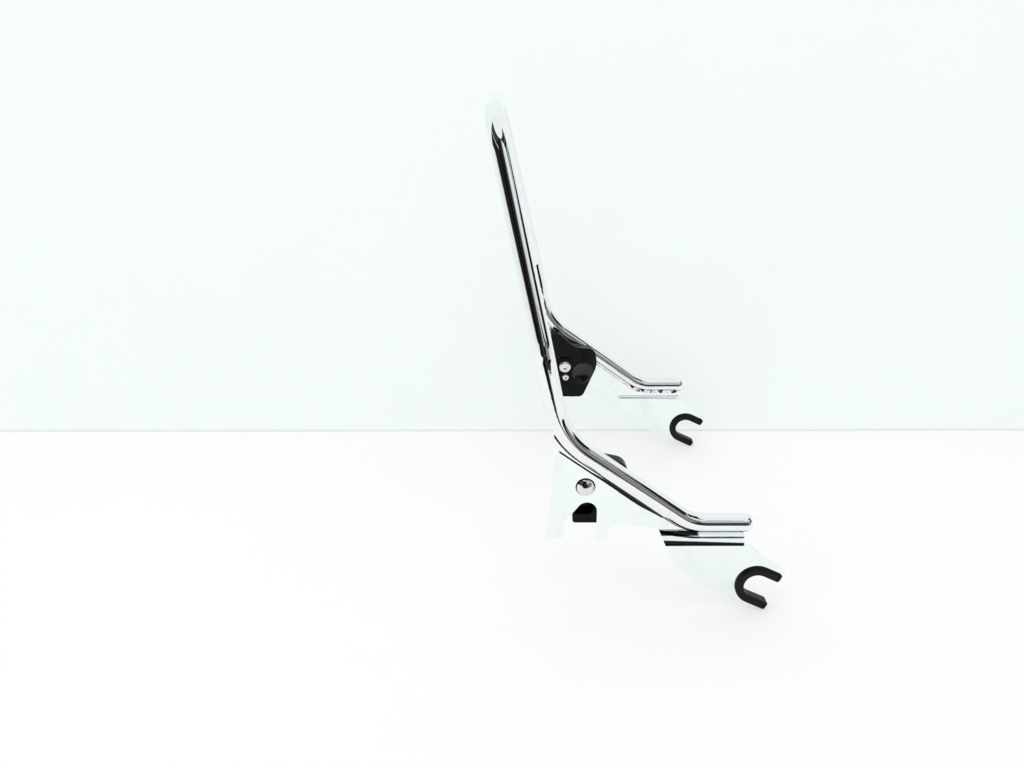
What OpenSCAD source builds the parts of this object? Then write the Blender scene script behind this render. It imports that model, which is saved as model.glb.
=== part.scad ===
// Detachable one-piece sissy bar for a motorbike, in millimetres.
// The origin lies on the common axis of the two front docks, midway between the side plates.
// +X points to the front of the bike, +Y to its left and +Z up.

/* [Bar] */
// Diameter of the round bar
bar_d = 15.4; // [13:0.1:18]
// Distance between the axes of the two rails
rail_spacing = 292; // [262:1:330]
// Height of the rails above the dock axis
rail_z = 53.6; // [50:0.1:60]
// Place of the rails' front faces, measured forwards from the dock axis
rail_front_x = -6.5; // [-12:0.5:2]
// Radius that rounds the edge of each rail's front face
rail_end_round = 5.6; // [1:0.1:6.4]
// Place of the front bend's corner
front_bend_x = -56.2; // [-62:0.1:-50]
// Centreline radius of the front bend
front_bend_r = 37; // [25:1:60]
// Rise of the sloping rail, in degrees above level
slope_angle = 36; // [30:0.5:42]
// Length of the sloping rail between the corners of its bends
slope_length = 128.9; // [122:0.1:150]
// Centreline radius of the rear bend
rear_bend_r = 65; // [45:1:80]
// Backward lean of the lower leg, in degrees
lower_leg_lean = 11.6; // [6:0.1:16]
// Length of the lower leg between the corners of its bends
lower_leg_length = 70; // [50:1:110]
// Centreline radius of the kink where the leg turns inboard
kink_r = 40; // [25:1:80]
// Backward lean of the upper leg, in degrees
upper_leg_lean = 12.7; // [6:0.1:18]
// Height of the crossbar's axis above the dock axis
top_z = 359.2; // [300:1:460]
// Width between the two top corners, measured on the centreline
top_width = 162; // [120:1:220]
// Centreline radius of the top bends
top_bend_r = 42; // [28:1:50]

/* [Side plates] */
// Thickness of the plates
plate_t = 5; // [3:0.5:6]
// Sideways step between the upper and the lower part of each plate
joggle = 10; // [6:0.5:14]
// Height at which the step begins on the outer face
joggle_top_z = 45.6; // [44:0.1:47]
// Height at which the step ends on the outer face
joggle_low_z = 37.5; // [36:0.1:40]
// Depth of the plate's top edge below the rail's axis
plate_top_drop = 4.5; // [3:0.1:6]
// Clearance between the plate's coped edge and the rail
cope_gap = 0.1; // [0.05:0.05:0.3]
// How far the plate's inner face lies outboard of the rail's inboard side
plate_inset = 0.4; // [0.2:0.1:1.5]
// Height of the rear lobe's lower edge
lobe_z = 38; // [34:1:44]

/* [Front docks] */
// Radius of the rubber-lined slot
dock_r = 10.4; // [8:0.1:12]
// Thickness of the rubber between the slot and the plate
liner_web = 3; // [2:0.1:4]
// Radius of the liner's outer rim
liner_rim_r = 17.25; // [15.5:0.05:18]
// Thickness of the rim on each face of the plate
liner_flange = 2.6; // [1.5:0.1:4]
// Angle of the slot's mouth below level, in degrees
dock_angle = 25.5; // [15:0.5:35]
// Length of the liner's upper arm
upper_arm = 15.4; // [10:0.1:16]
// Length of the liner's lower arm
lower_arm = 18.6; // [12:0.1:20]

/* [Rear docks] */
// Place of the rear dock's axis, measured along X
rear_dock_x = -138.1; // [-142:0.1:-135]
// Height of the rear dock's axis
rear_dock_z = 62.7; // [60:0.1:64]
// Radius of the slot's round top
rear_dock_r = 8; // [6:0.1:8.5]
// Slope of the slot's rear wall from upright, in degrees
ramp_angle = 37; // [25:1:45]
// Width of the slot's mouth
mouth_w = 26; // [20:0.5:28]

/* [Latches] */
// Distance from the rear dock's axis up to the pivot
pivot_rise = 21.8; // [21:0.1:23]
// Distance that the pivot lies behind the rear dock's axis
pivot_back = 1.8; // [0:0.1:3]
// Radius of the pivot's sleeve
sleeve_r = 5; // [4:0.1:5.5]
// Running clearance between the sleeve and the lever's bore
pivot_clearance = 0.05; // [0.03:0.01:0.1]
// Radius of the domed bolt head
dome_r = 7.8; // [6.5:0.1:9]
// Height of the domed bolt head
dome_h = 4.6; // [3:0.1:6]
// Thickness of the washer between the plate and the lever
washer_t = 1.2; // [0.8:0.1:2]
// Radius of the washer
washer_r = 11; // [8:0.5:12]
// Thickness of the lever
lever_t = 13; // [10:0.5:16]
// Height of the hub above the lever's face
hub_h = 3; // [2:0.1:5]
// Radius of the docking stud's neck that the lever's hook closes round
neck_r = 6; // [4:0.1:6.2]
// Clearance between the neck and the hook
hook_clearance = 0.5; // [0.3:0.1:1]
// Width of the hook
hook_w = 7.5; // [5:0.5:9]
// Radius of the pivot screw's head
screw_head_r = 6.2; // [5.5:0.1:6.8]
// Height of the pivot screw's head
screw_head_h = 3.6; // [2.5:0.1:5]
// Radius of the pivot screw's shank
screw_shank_r = 3; // [2:0.1:3.5]
// Radius of the small screw's head
small_head_r = 3.4; // [2.5:0.1:3.5]

/* [Hidden] */
$fn = 96;

bar_r = bar_d / 2;
rail_y = rail_spacing / 2;

// Distances outboard of the middle plane
plate_in = rail_y - bar_r + plate_inset;
plate_out = plate_in + plate_t;
dock_y = plate_in + joggle + plate_t / 2;

// Corners of the rail and the lower leg, as [x, z]
rail_front = [rail_front_x - rail_end_round, rail_z];
front_corner = [front_bend_x, rail_z];
rear_corner = front_corner + slope_length * [-cos(slope_angle), sin(slope_angle)];
kink_corner = rear_corner + lower_leg_length * [-sin(lower_leg_lean), cos(lower_leg_lean)];
top_x = kink_corner[0] - (top_z - kink_corner[1]) * tan(upper_leg_lean);

right_half = [
    on_rail(rail_front), on_rail(front_corner), on_rail(rear_corner), on_rail(kink_corner),
    [top_x, -top_width / 2, top_z]
];
bar_path = concat(right_half, [for (i = [len(right_half) - 1 : -1 : 0]) mirror_y(right_half[i])]);
half_radii = [0, front_bend_r, rear_bend_r, kink_r, top_bend_r];
bar_radii = concat(half_radii, [for (i = [len(half_radii) - 1 : -1 : 0]) half_radii[i]]);

pivot = [rear_dock_x - pivot_back, rear_dock_z + pivot_rise];
pivot_dock = norm(pivot - [rear_dock_x, rear_dock_z]);
slot_in = pivot_dock - neck_r - hook_clearance;
slot_out = pivot_dock + neck_r + hook_clearance;
hook_out = slot_out + hook_w;
lever_out = plate_in - washer_t;
lever_in = lever_out - lever_t;
hub_in = lever_in - hub_h;
dock_direction = [cos(dock_angle), -sin(dock_angle)];
dock_normal = [sin(dock_angle), cos(dock_angle)];

function on_rail(p) = [p[0], -rail_y, p[1]];
function mirror_y(p) = [p[0], -p[1], p[2]];
function unit(v) = v / norm(v);
function dock_point(along, across) = along * dock_direction + across * dock_normal;
function side_points(list) = [for (p = list) [p[0], p[1]]];

// Points of an outline whose corners are given as [x, z, radius]
function outline(list, steps = 8) = [
    for (i = [0 : len(list) - 1])
        each corner(
            side_points(list)[(i + len(list) - 1) % len(list)],
            side_points(list)[i],
            side_points(list)[(i + 1) % len(list)],
            list[i][2], steps)
];
function corner(before, at, after, r, steps) =
    r == 0 ? [at] :
    let (
        back = unit(before - at),
        on = unit(after - at),
        half = acos(back * on) / 2,
        centre = at + unit(back + on) * r / sin(half),
        from = at + back * r / tan(half) - centre,
        to = at + on * r / tan(half) - centre,
        start = atan2(from[1], from[0]),
        sweep = atan2(from[0] * to[1] - from[1] * to[0], from * to)
    )
    [for (k = [0 : steps]) centre + r * [cos(start + sweep * k / steps), sin(start + sweep * k / steps)]];

function arc(centre, r, from, to, steps) =
    [for (k = [0 : steps]) let (a = from + (to - from) * k / steps) centre + r * [cos(a), sin(a)]];

// Extrudes an [x, z] shape from one distance outboard of the middle to another, on the right side
module slab(from, to) {
    translate([0, -from, 0]) rotate([90, 0, 0]) linear_extrude(to - from) children();
}
module on_side(side) {
    if (side == "right") children();
    else mirror([0, 1, 0]) children();
}
module place(x_dir, y_dir, z_dir, at) {
    multmatrix([
        [x_dir[0], y_dir[0], z_dir[0], at[0]],
        [x_dir[1], y_dir[1], z_dir[1], at[1]],
        [x_dir[2], y_dir[2], z_dir[2], at[2]],
        [0, 0, 0, 1]
    ]) children();
}

// Sweeps a section along a path of straights and bends.
// The section's X points away from each bend's centre and its Y along the bend's axis.
// Each straight runs a little way into the bends, where the section may grow by $swell.
module sweep(path, radii) {
    for (i = [0 : len(path) - 2]) {
        travel = unit(path[i + 1] - path[i]);
        level = unit([travel[1], -travel[0], 0]);
        from = path[i] + travel * straight_end(path, radii, i);
        to = path[i + 1] - travel * straight_end(path, radii, i + 1);
        place(cross(travel, level), level, -travel, to)
            linear_extrude(norm(to - from)) let ($swell = 0) children();
    }
    for (i = [1 : len(path) - 2]) {
        travel = unit(path[i] - path[i - 1]);
        next = unit(path[i + 1] - path[i]);
        axis = unit(cross(travel, next));
        inward = cross(axis, travel);
        start = path[i] - travel * tangent_length(path, radii, i);
        place(-inward, travel, axis, start + inward * radii[i])
            rotate_extrude(angle = acos(travel * next)) translate([radii[i], 0])
                let ($swell = bend_swell) children();
    }
}
bend_swell = 0.06;
bend_lap = 1;
function straight_end(path, radii, i) =
    radii[i] == 0 ? 0 : tangent_length(path, radii, i) - bend_lap;
function tangent_length(path, radii, i) =
    i == 0 || i == len(path) - 1 ? 0 :
    radii[i] * tan(acos(unit(path[i] - path[i - 1]) * unit(path[i + 1] - path[i])) / 2);

// The right rail from a given front end to the kink
module along_rail(front_x) {
    sweep([for (p = [[front_x, rail_z], front_corner, rear_corner, kink_corner]) on_rail(p)],
        [0, front_bend_r, rear_bend_r, 0]) children();
}

// Half section of a rail's rounded front end, as radius and height
module end_profile() {
    flat = bar_r - rail_end_round;
    square([flat, rail_end_round]);
    intersection() {
        translate([flat, 0]) circle(rail_end_round);
        translate([flat - 0.01, 0]) square(rail_end_round + 1);
    }
}
module upright_bar() {
    color("silver") {
        sweep(bar_path, bar_radii) circle(bar_r + $swell);
        for (side = ["right", "left"])
            on_side(side) translate([rail_front[0], -rail_y, rail_z]) rotate([0, 90, 0])
                rotate_extrude() end_profile();
    }
}

// The upper part of the plate and the lobe that carries the rear dock
lobe_rear_x = -170.8;
lobe_front_x = -123;
arch_z = 50.5;
overlap_z = joggle_top_z + 1.5;
plate_front_x = -11;
step_rear_x = -80.5;
module upper_outline() {
    polygon(outline([
        [plate_front_x, rail_z, 0],
        [plate_front_x, overlap_z, 0],
        [step_rear_x, overlap_z, 0],
        [step_rear_x - 7, overlap_z, 8],
        [-100, arch_z, 10],
        [lobe_front_x + 6, arch_z, 6],
        [lobe_front_x, lobe_z, 4],
        [lobe_rear_x, lobe_z, 4],
        [-167.3, 66, 0],
        [-164, 108, 12],
        [-156, 127, 0],
        [-150, 124, 0],
        [front_corner[0], rail_z + 1, 0]
    ]));
}

// The lower part of the plate, which hooks round the front dock
hook_edge = liner_rim_r - 0.65;
tip = dock_point(16.2, 20.2);
module lower_outline() {
    polygon(outline([
        [plate_front_x, rail_z, 0],
        [plate_front_x - 1.2, joggle_low_z + 5, 0],
        [-13.5, joggle_low_z - 1, 1],
        [-8, joggle_low_z - 2.2, 1],
        [tip[0], tip[1], 2.6],
        each [for (p = [dock_point(15, 0), dock_point(14.5, -hook_edge)]) [p[0], p[1], 0]],
        [dock_point(0, -hook_edge)[0], dock_point(0, -hook_edge)[1], 6],
        [-11.5, -17.4, 6],
        [-66, 12.1, 70],
        [step_rear_x + 4.6, joggle_low_z, 0],
        [step_rear_x, joggle_top_z + 1, 0],
        [step_rear_x, rail_z, 0]
    ]));
}
module dock_slot(r, reach) {
    circle(r);
    rotate(-dock_angle) translate([0, -r]) square([reach, 2 * r]);
}

// Section through the step, as distance outboard and height
module joggle_section() {
    drop = joggle_top_z - joggle_low_z;
    fold = plate_t * tan(atan(joggle / drop) / 2);
    in = plate_in;
    out = plate_out;
    polygon(outline([
        [in, rail_z, 0],
        [in, joggle_top_z - fold, 3],
        [in + joggle, joggle_low_z - fold, 1],
        [in + joggle, -30, 0],
        [out + joggle, -30, 0],
        [out + joggle, joggle_low_z, 3],
        [out, joggle_top_z, 1],
        [out, rail_z, 0]
    ]));
}
module rear_slot() {
    run = lobe_z - 5;
    tangent = [rear_dock_x, rear_dock_z] + rear_dock_r * [-cos(ramp_angle), sin(ramp_angle)];
    front = rear_dock_x + rear_dock_r;
    rear = front - mouth_w;
    ramp_end = tangent[1] - (tangent[0] - rear) / tan(ramp_angle);
    translate([rear_dock_x, rear_dock_z]) circle(rear_dock_r);
    polygon([
        [rear_dock_x, rear_dock_z], [front, rear_dock_z], [front, run],
        [rear, run], [rear, ramp_end], tangent
    ]);
}
module side_plate(side) {
    color("gainsboro") on_side(side) difference() {
        union() {
            slab(plate_in, plate_out) upper_outline();
            intersection() {
                slab(plate_in, plate_out + joggle) lower_outline();
                place([0, -1, 0], [0, 0, 1], [-1, 0, 0], [40, 0, 0])
                    linear_extrude(140) joggle_section();
            }
        }
        along_rail(20) {
            circle(bar_r + cope_gap + $swell);
            translate([plate_top_drop - 20, -bar_d]) square([20 + $swell, 2 * bar_d]);
        }
        slab(plate_in - 1, plate_out + 1) rear_slot();
        slab(plate_in + joggle - 1, plate_out + joggle + 1) dock_slot(dock_r + liner_web, 40);
        slab(plate_in - 1, plate_out + 1) translate(pivot) circle(sleeve_r);
    }
}

// Outline of the liner between the slot and a given radius, with its arms cut at their ends
module liner_shape(r) {
    difference() {
        intersection() {
            dock_slot(r, lower_arm + 5);
            polygon(outline([
                for (p = [
                    [-r - 5, -r - 5, 0], [lower_arm + 1, -r - 5, 0], [lower_arm, -r, 3],
                    [lower_arm - 1.5, 0, 0], [upper_arm, 0, 0], [upper_arm, r, 3],
                    [upper_arm - 4, r + 5, 0], [-r - 5, r + 5, 0]
                ])
                    [dock_point(p[0], p[1])[0], dock_point(p[0], p[1])[1], p[2]]
            ]));
        }
        dock_slot(dock_r, 50);
    }
}
module front_liner(side) {
    in = plate_in + joggle;
    out = in + plate_t;
    color("dimgray") on_side(side) {
        slab(in - 0.01, out + 0.01) liner_shape(dock_r + liner_web);
        slab(in - liner_flange, in) liner_shape(liner_rim_r);
        slab(out, out + liner_flange) liner_shape(liner_rim_r);
    }
}

// Beads in the corners between the rail and the plate
weld_front_x = -14;
weld_r = 1.9;
module rail_weld(side, face) {
    inner_face = bar_r - plate_inset;
    outer_face = inner_face - plate_t;
    at = face == "outer" ? [bar_r + 0.2, outer_face - 0.4] : [plate_top_drop + 0.6, inner_face];
    color("silver") on_side(side) intersection() {
        along_rail(weld_front_x) difference() {
            translate(at) circle(weld_r + $swell, $fn = 32);
            circle(bar_r - $swell);
            translate([plate_top_drop + $swell, outer_face + $swell])
                square([2 * bar_r, plate_t - 2 * $swell]);
        }
        translate([-159.5, -rail_y - bar_r, 0]) cube([159.5, bar_d, 150]);
    }
}

// The lever's outline about its pivot; its hook closes the rear dock from below
module lever_outline() {
    polygon(outline([
        [-slot_in, 35, 2.5],
        [-5.5, 35, 6],
        [9, 21, 25],
        [31.5, 18, 9],
        [36, 0, 25],
        [20, -hook_out, 6],
        [-9, -hook_out, 2.5],
        [-9, -slot_out + 3, 0],
        [-slot_in, -slot_in, 0]
    ]));
}
// The slot that the neck travels along as the lever swings, from its round end to the open rear
module hook_slot() {
    dock = [pivot_back, -pivot_rise];
    down = atan2(dock[1], dock[0]);
    mouth = down - 95;
    polygon(concat(
        arc([0, 0], slot_out, down, mouth, 14),
        arc([0, 0], slot_in, mouth, down, 10),
        arc(dock, neck_r + hook_clearance, down + 180, down, 10)
    ));
}
keeper_at = (slot_in - small_head_r - 0.25) * unit([pivot_back, -pivot_rise]);
keeper_shank_r = small_head_r / 2;
keeper_depth = 8;
head_seat = hub_in + 1.4;
crown_r = 75;
crown_x = 8;
dish_r = 20;
dish_depth = 4;
module about_pivot() {
    translate([pivot[0], 0, pivot[1]]) children();
}
module lever_hub() {
    circle(screw_head_r + 3);
    translate(keeper_at) circle(small_head_r + 2);
}
module lever_holes() {
    hook_slot();
    circle(sleeve_r + pivot_clearance);
}
module lever_blank() {
    intersection() {
        slab(lever_in - 1, lever_out) difference() {
            lever_outline();
            lever_holes();
        }
        translate([crown_x, -lever_in - crown_r, -50]) cylinder(r = crown_r, h = 100, $fn = 180);
    }
}
module latch_lever(side) {
    color("black") on_side(side) about_pivot() difference() {
        union() {
            difference() {
                lever_blank();
                translate([20, -lever_in + dish_r - dish_depth, -9]) sphere(dish_r);
            }
            slab(hub_in, lever_in + 3) difference() {
                lever_hub();
                lever_holes();
            }
        }
        slab(hub_in - 1, head_seat + 0.1) circle(screw_head_r + 0.6);
        slab(hub_in - 1, hub_in + keeper_depth) translate(keeper_at) circle(keeper_shank_r);
    }
}
module latch_washer(side) {
    color("dimgray") on_side(side) about_pivot() slab(lever_out, plate_in) difference() {
        circle(washer_r);
        circle(sleeve_r + pivot_clearance);
    }
}

// Turns a half section of radius and height about the pivot, with its base at the given distance outboard
module turned(at) {
    translate([0, -at, 0]) rotate([90, 0, 0]) rotate_extrude() children();
}
socket_depth = 2;
thread_depth = 12;
module pivot_bolt(side) {
    ball_r = (dome_r ^ 2 + dome_h ^ 2) / (2 * dome_h);
    color("silver") on_side(side) about_pivot() {
        turned(plate_out) intersection() {
            translate([0, dome_h - ball_r]) circle(ball_r);
            square(dome_r + 1);
        }
        difference() {
            slab(head_seat, plate_out) circle(sleeve_r);
            slab(head_seat - 1, head_seat + thread_depth) circle(screw_shank_r);
        }
    }
}

// A round-edged screw with a hexagon socket; its head's seat lies at the given distance outboard
module screw(seat, head_r, head_h, shank_r, shank_length) {
    round_r = head_h * 0.45;
    difference() {
        translate([0, -seat, 0]) rotate([-90, 0, 0]) rotate_extrude() {
            square([head_r - round_r, head_h]);
            square([head_r, head_h - round_r]);
            translate([head_r - round_r, head_h - round_r]) circle(round_r);
        }
        slab(seat - head_h - 1, seat - head_h + socket_depth) circle(head_r * 0.45, $fn = 6);
    }
    slab(seat - 0.5, seat + shank_length) circle(shank_r);
}
module pivot_screw(side) {
    color("silver") on_side(side) about_pivot()
        screw(head_seat, screw_head_r, screw_head_h, screw_shank_r, thread_depth - 2);
}
module keeper_screw(side) {
    color("silver") on_side(side) about_pivot() translate([keeper_at[0], 0, keeper_at[1]])
        screw(hub_in, small_head_r, 2.4, keeper_shank_r, keeper_depth - 1);
}

upright_bar();
side_plate("right");  // side_plate_right
side_plate("left");  // side_plate_left
front_liner("right");  // front_liner_right
front_liner("left");  // front_liner_left
rail_weld("right", "outer");  // rail_weld_outer_right
rail_weld("left", "outer");  // rail_weld_outer_left
rail_weld("right", "inner");  // rail_weld_inner_right
rail_weld("left", "inner");  // rail_weld_inner_left
latch_lever("right");  // latch_lever_right
latch_lever("left");  // latch_lever_left
latch_washer("right");  // latch_washer_right
latch_washer("left");  // latch_washer_left
pivot_bolt("right");  // pivot_bolt_right
pivot_bolt("left");  // pivot_bolt_left
pivot_screw("right");  // pivot_screw_right
pivot_screw("left");  // pivot_screw_left
keeper_screw("right");  // keeper_screw_right
keeper_screw("left");  // keeper_screw_left
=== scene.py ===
import math

import bmesh
import bpy
import numpy as np
from bpy.props import FloatProperty, FloatVectorProperty, IntProperty, PointerProperty
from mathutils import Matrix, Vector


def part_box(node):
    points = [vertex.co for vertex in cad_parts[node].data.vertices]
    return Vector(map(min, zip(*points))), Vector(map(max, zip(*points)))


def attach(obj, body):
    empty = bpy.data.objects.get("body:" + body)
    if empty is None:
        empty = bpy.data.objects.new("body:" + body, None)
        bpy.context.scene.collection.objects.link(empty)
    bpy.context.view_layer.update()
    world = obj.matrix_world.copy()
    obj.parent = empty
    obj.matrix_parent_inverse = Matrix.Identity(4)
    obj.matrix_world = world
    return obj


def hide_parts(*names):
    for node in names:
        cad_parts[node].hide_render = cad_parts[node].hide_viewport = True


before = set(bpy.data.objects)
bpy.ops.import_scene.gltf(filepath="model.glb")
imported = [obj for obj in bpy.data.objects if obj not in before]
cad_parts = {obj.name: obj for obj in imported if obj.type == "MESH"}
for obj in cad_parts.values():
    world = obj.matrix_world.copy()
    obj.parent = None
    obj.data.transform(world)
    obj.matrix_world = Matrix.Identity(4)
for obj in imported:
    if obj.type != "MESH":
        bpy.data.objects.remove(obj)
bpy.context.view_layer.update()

bl_info = {
    "name": "Sissy Bar",
    "version": (1, 0, 0),
    "blender": (4, 5, 0),
    "location": "3D View > Sidebar > Sissy Bar",
    "description": "Dresses the sissy bar in chrome, rubber and gloss black, and sets up its studio",
    "category": "Object",
}

SIDES = {"right": -1, "left": 1}
QUARTER_TURN = math.pi / 2
SAME_POINT = 2e-6
SAME_PLANE = math.radians(0.6)
SHARP_EDGE = math.radians(38)


def length(name, description, default):
    return FloatProperty(name=name, description=description, default=default, unit="LENGTH", precision=5)


def angle(name, description, degrees):
    return FloatProperty(name=name, description=description, default=math.radians(degrees), unit="ROTATION")


def colour(name, description, default):
    return FloatVectorProperty(
        name=name, description=description, default=default, subtype="COLOR", size=3, min=0, max=1
    )


def share(name, description, default):
    return FloatProperty(name=name, description=description, default=default, min=0, max=1, subtype="FACTOR")


class BarShape(bpy.types.PropertyGroup):
    diameter: length("Diameter", "Diameter of the round bar", 0.0154)
    rail_spacing: length("Rail spacing", "Distance between the axes of the two rails", 0.292)
    rail_height: length("Rail height", "Height of the rails above the dock axis", 0.0536)
    front_face: length("Front face", "Place of the rails' front faces along X", -0.0065)
    end_round: length("End rounding", "Radius that rounds the edge of each front face", 0.0056)
    front_bend_place: length("Front bend place", "Place of the front bend's corner along X", -0.0562)
    front_bend_radius: length("Front bend radius", "Centreline radius of the front bend", 0.037)
    slope: angle("Slope", "Rise of the sloping rail above level", 36)
    slope_length: length("Slope length", "Length of the sloping rail between its bends' corners", 0.1289)
    rear_bend_radius: length("Rear bend radius", "Centreline radius of the rear bend", 0.065)
    lower_lean: angle("Lower leg lean", "Backward lean of the lower leg", 11.6)
    lower_length: length("Lower leg length", "Length of the lower leg between its bends' corners", 0.07)
    kink_radius: length("Kink radius", "Centreline radius where the leg turns inboard", 0.04)
    upper_lean: angle("Upper leg lean", "Backward lean of the upper leg", 12.7)
    top_height: length("Top height", "Height of the crossbar's axis above the dock axis", 0.3592)
    top_width: length("Top width", "Width between the two top corners", 0.162)
    top_radius: length("Top bend radius", "Centreline radius of the top bends", 0.042)
    around: IntProperty(
        name="Points around", description="Points round the bar's section", default=64, min=16, max=128
    )


class LinerShape(bpy.types.PropertyGroup):
    slot_radius: length("Slot radius", "Radius of the rubber-lined slot", 0.0104)
    web: length("Web", "Thickness of the rubber between the slot and the plate", 0.003)
    rim_radius: length("Rim radius", "Radius of the liner's outer rim", 0.01725)
    flange: length("Flange", "Thickness of the rim on each face of the plate", 0.0026)
    plate: length("Plate", "Thickness of the plate that the liner clips over", 0.005)
    upper_arm: length("Upper arm", "Length of the upper arm from the slot's middle", 0.0154)
    lower_arm: length("Lower arm", "Length of the lower arm from the slot's middle", 0.0186)
    mouth: angle("Mouth", "Angle of the slot's mouth below level", 25.5)
    rounding: length("Rounding", "Rounding of the rubber's outer edges", 0.0015)


class WeldShape(bpy.types.PropertyGroup):
    radius: length("Bead radius", "Radius of the weld bead", 0.0019)
    ripple: length("Ripple", "Height of the bead's ripples", 0.00012)
    pitch: length("Pitch", "Distance between two ripples", 0.0021)
    front: length("Front end", "Place of the bead's front end along X", -0.0142)
    rear: length("Rear end", "Place of the bead's rear end along X", -0.158)
    outer_gap: length("Outer gap", "Distance of the outer bead's middle from the bar's surface", 0.0002)
    outer_inset: length("Outer inset", "Distance of the outer bead inboard of the rail's axis", 0.0019)
    inner_drop: length("Inner drop", "Distance of the inner bead below the rail's axis", 0.0051)
    inner_inset: length("Inner inset", "Distance of the inner bead inboard of the rail's axis", 0.0073)
    painted_shade_from: length("Dark from", "Distance behind the front bend where the outer bead turns dark", 0.015)
    around: IntProperty(
        name="Points around", description="Points round the bead's section", default=24, min=8, max=64
    )


# Where the plates' chrome is painted dark: a streak of painted shade under the sloping rail and lines of
# painted reflection on the fold.
class PaintedShadeShape(bpy.types.PropertyGroup):
    outer_side: length("Outer side", "Distance from the centre plane to the middle of the plates", 0.141)
    inner_side: length("Inner side", "Distance from the centre plane that parts the two weld beads", 0.14)
    streak_start: length("Streak start", "Distance of the streak's start up the slope", 0.0195)
    streak_end: length("Streak end", "Distance of the streak's end up the slope", 0.121)
    streak_drop: length("Streak drop", "Distance of the streak's top below the rail's axis", 0.0095)
    streak_parting: length("Streak parting", "How far the streak parts from the rail higher up", 0.0019)
    streak_width: length("Streak width", "Width of the streak at its ends", 0.0013)
    streak_swell: length("Streak swell", "What the streak's widest place adds to its width", 0.0021)
    streak_waviness: length("Streak waviness", "Waviness of the streak's edges", 0.0005)
    parting_start: length("Parting start", "Distance up the slope where the streak starts to part", 0.062)
    parting_end: length("Parting end", "Distance up the slope where it has parted", 0.095)
    fold_start: length("Fold start", "Distance behind the front bend where the fold starts", 0.031)
    upper_start: length("Upper start", "Distance behind the front bend where the upper line starts", 0.024)
    upper_end: length("Upper end", "Distance ahead of the front bend where the upper line ends", 0.0075)
    upper_top: length("Upper line top", "Depth of the upper line's top below the rail", 0.0084)
    upper_bottom: length("Upper line bottom", "Depth of the upper line's bottom below the rail", 0.0112)
    lower_top: length("Lower line top", "Depth of the lower line's top below the rail", 0.014)
    lower_bottom: length("Lower line bottom", "Depth of the lower line's bottom below the rail", 0.0163)
    lower_taper: FloatProperty(
        name="Lower line taper", description="Rise of the lower line's top to the rear", default=0.02
    )
    inner_top: length("Inner line top", "Depth of the inner face's line below the rail", 0.00995)
    inner_bottom: length("Inner line bottom", "Depth of that line's bottom below the rail", 0.01075)


class LatchShape(bpy.types.PropertyGroup):
    pivot_x: length("Pivot along X", "Place of the pivot along X", -0.1399)
    pivot_z: length("Pivot height", "Height of the pivot above the dock axis", 0.0845)
    slot_inner: length("Slot inner radius", "Inner radius of the hook's slot about the pivot", 0.0151)
    slot_outer: length("Slot outer radius", "Outer radius of the hook's slot about the pivot", 0.0287)
    slot_end: angle("Slot end", "Angle of the slot's round end below level", 66)
    slot_mouth: angle("Slot mouth", "Angle of the slot's mouth below level", 118)
    hub: length("Hub", "Height of the hub above the lever's crown", 0.003)
    crown_radius: length("Crown radius", "Radius of the lever's crowned face", 0.075)
    crown_middle: length("Crown middle", "Distance of the crown's crest in front of the pivot", 0.008)
    recess: length("Recess", "Depth of the web below the crowned face", 0.0002)
    pocket: length("Pocket", "Depth of the hook's slot from the plate's side", 0.0075)
    dish_ahead: length("Dish ahead", "Distance of the finger dish in front of the pivot", 0.020)
    dish_below: length("Dish below", "Distance of the finger dish below the pivot", 0.009)
    dish_radius: length("Dish radius", "Radius of the finger dish", 0.0115)
    bolt_radius: length("Bolt radius", "Radius of the domed bolt's visible rim", 0.0076)
    # The bolt's dark rim is painted shade round the dome's base.
    bolt_shade_rim: length("Bolt rim", "Width of the dark rim round the domed bolt", 0.0009)


class Finish(bpy.types.PropertyGroup):
    bar: colour("Bar chrome", "Colour of the bar's chrome", (0.90, 0.91, 0.92))
    plate: colour("Plate chrome", "Colour of the plates' chrome", (0.905, 0.955, 0.96))
    screw: colour("Screw chrome", "Colour of the screws' chrome", (0.78, 0.77, 0.75))
    rubber: colour("Rubber", "Colour of the liners' rubber", (0.005, 0.0055, 0.006))
    black: colour("Gloss black", "Colour of the latch levers", (0.0025, 0.003, 0.0035))
    washer: colour("Washer", "Colour of the washers", (0.02, 0.02, 0.022))
    smudges: share("Smudges", "How strongly smudges dull the chrome", 0.5)
    dish_gloss: share("Dish gloss", "Share of clear coat in the levers' finger dishes", 0.55)
    plate_edge: length("Plate edge", "Rounding of the plates' edges", 0.00035)
    lever_edge: length("Lever edge", "Rounding of the levers' edges", 0.0009)


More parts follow.
